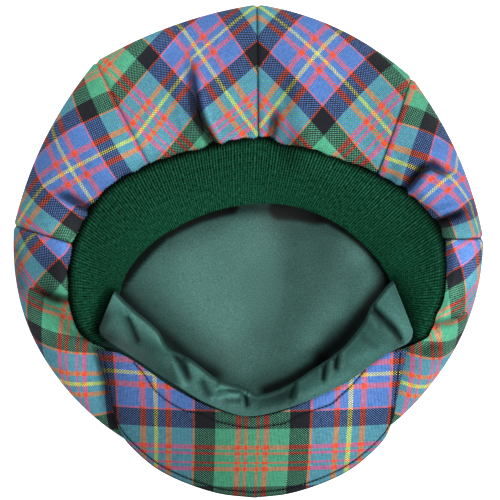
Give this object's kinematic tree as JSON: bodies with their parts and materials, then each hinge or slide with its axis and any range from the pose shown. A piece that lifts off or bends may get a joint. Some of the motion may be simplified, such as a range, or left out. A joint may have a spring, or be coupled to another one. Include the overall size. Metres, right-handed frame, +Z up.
{
  "type": "flat cap",
  "caption": "Soft tartan cap with a short stitched peak, a ribbed knit head band and a satin lining, lying upside down on its crown.",
  "frame": {"origin": "on the floor, under the middle of the overall box", "axes": "+Z up in the stored pose, out of the head opening; -Y towards the peak; +X towards the right side of the picture"},
  "size_m": [0.269, 0.2809, 0.0552],
  "materials": {
    "tartan_wool": "matte twill wool",
    "rib_knit": "fine rib knit",
    "satin": "satin"
  },
  "bodies": {
    "root": {"crown_side_right": "tartan_wool", "crown_back_right": "tartan_wool", "crown_back_left": "tartan_wool", "crown_side_left": "tartan_wool", "crown_front_left": "tartan_wool", "crown_front_right": "tartan_wool", "peak": "tartan_wool", "knit_band": "rib_knit", "lining_tip": "satin", "lining_side_right": "satin", "lining_side_left": "satin", "lining_mouth": "satin", "front_facing": "satin"}
  },
  "joints": []
}
